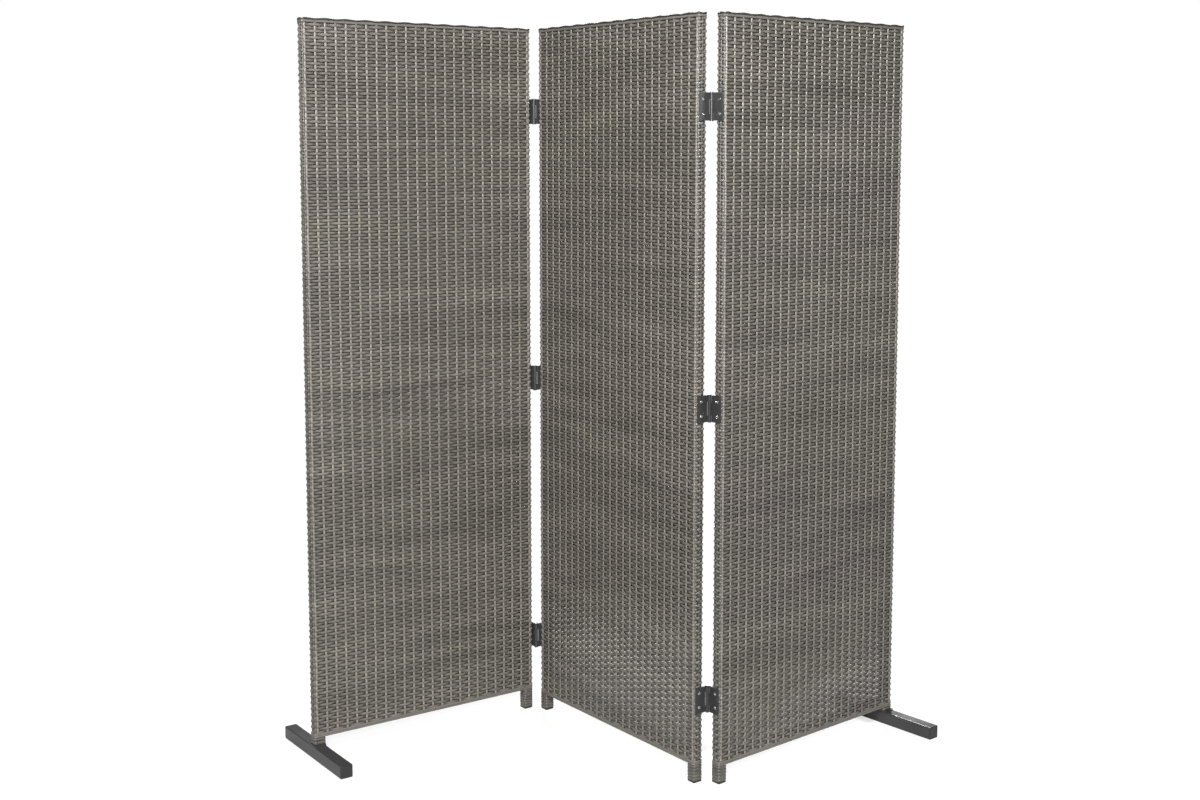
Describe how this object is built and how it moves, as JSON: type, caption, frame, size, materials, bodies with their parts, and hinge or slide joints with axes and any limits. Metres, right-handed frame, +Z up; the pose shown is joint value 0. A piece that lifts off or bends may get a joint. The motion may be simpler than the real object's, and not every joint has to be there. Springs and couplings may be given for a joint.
{
  "type": "folding room divider screen",
  "caption": "Free-standing folding room divider: woven strand panels on steel tube frames, joined by butt hinges, with a cross foot under each outer leg.",
  "frame": {"origin": "centre of the base of the bounding box, on the floor, in the zigzag pose", "axes": "+X to the right of someone who faces the front, +Y from the front to the back, +Z up"},
  "size_m": [1.5684, 0.5218, 1.7],
  "materials": {
    "rattan_strand": "satin, mottled grey brown",
    "frame_steel": "satin powder coat",
    "foot_coating": "satin powder coat",
    "black_plastic": "matte",
    "hinge_coating": "satin black coat",
    "hinge_pin_steel": "satin",
    "screw_steel": "bright zinc"
  },
  "bodies": {
    "left_panel_body": {"left_foot_bar": "foot_coating", "left_foot_bolt": "screw_steel", "left_foot_end_caps": "black_plastic", "left_foot_insert": "black_plastic", "left_foot_plate": "foot_coating", "left_joint_centre_hinge_left_leaf": "hinge_coating", "left_joint_lower_hinge_left_leaf": "hinge_coating", "left_joint_upper_hinge_left_leaf": "hinge_coating", "left_panel_bottom_border": "rattan_strand", "left_panel_bottom_rail": "frame_steel", "left_panel_hinge_screws": "screw_steel", "left_panel_left_stile": "frame_steel", "left_panel_leg_glides": "black_plastic", "left_panel_leg_wraps": "rattan_strand", "left_panel_middle_rail": "frame_steel", "left_panel_right_stile": "frame_steel", "left_panel_top_border": "rattan_strand", "left_panel_top_rail": "frame_steel", "left_panel_warp_stakes": "rattan_strand", "left_panel_woven_cover": "rattan_strand"},
    "middle_panel_body": {"left_joint_centre_hinge_middle_leaf": "hinge_coating", "left_joint_hinge_pins": "hinge_pin_steel", "left_joint_lower_hinge_middle_leaf": "hinge_coating", "left_joint_upper_hinge_middle_leaf": "hinge_coating", "middle_panel_bottom_border": "rattan_strand", "middle_panel_bottom_rail": "frame_steel", "middle_panel_hinge_screws": "screw_steel", "middle_panel_left_stile": "frame_steel", "middle_panel_leg_glides": "black_plastic", "middle_panel_leg_wraps": "rattan_strand", "middle_panel_middle_rail": "frame_steel", "middle_panel_right_stile": "frame_steel", "middle_panel_top_border": "rattan_strand", "middle_panel_top_rail": "frame_steel", "middle_panel_warp_stakes": "rattan_strand", "middle_panel_woven_cover": "rattan_strand", "right_joint_centre_hinge_middle_leaf": "hinge_coating", "right_joint_hinge_pins": "hinge_pin_steel", "right_joint_lower_hinge_middle_leaf": "hinge_coating", "right_joint_upper_hinge_middle_leaf": "hinge_coating"},
    "right_panel_body": {"right_foot_bar": "foot_coating", "right_foot_bolt": "screw_steel", "right_foot_end_caps": "black_plastic", "right_foot_insert": "black_plastic", "right_foot_plate": "foot_coating", "right_joint_centre_hinge_right_leaf": "hinge_coating", "right_joint_lower_hinge_right_leaf": "hinge_coating", "right_joint_upper_hinge_right_leaf": "hinge_coating", "right_panel_bottom_border": "rattan_strand", "right_panel_bottom_rail": "frame_steel", "right_panel_hinge_screws": "screw_steel", "right_panel_left_stile": "frame_steel", "right_panel_leg_glides": "black_plastic", "right_panel_leg_wraps": "rattan_strand", "right_panel_middle_rail": "frame_steel", "right_panel_right_stile": "frame_steel", "right_panel_top_border": "rattan_strand", "right_panel_top_rail": "frame_steel", "right_panel_warp_stakes": "rattan_strand", "right_panel_woven_cover": "rattan_strand"}
  },
  "joints": [
    {"name": "left_fold", "type": "hinge", "parent": "middle_panel_body", "child": "left_panel_body", "pos_m": [-0.19249, 0.21292, 0.845], "axis": [0, 0, 1], "range_deg": [-88, 78]},
    {"name": "right_fold", "type": "hinge", "parent": "middle_panel_body", "child": "right_panel_body", "pos_m": [0.21589, -0.23832, 0.845], "axis": [0, 0, 1], "range_deg": [-93.5, 72.5]}
  ]
}
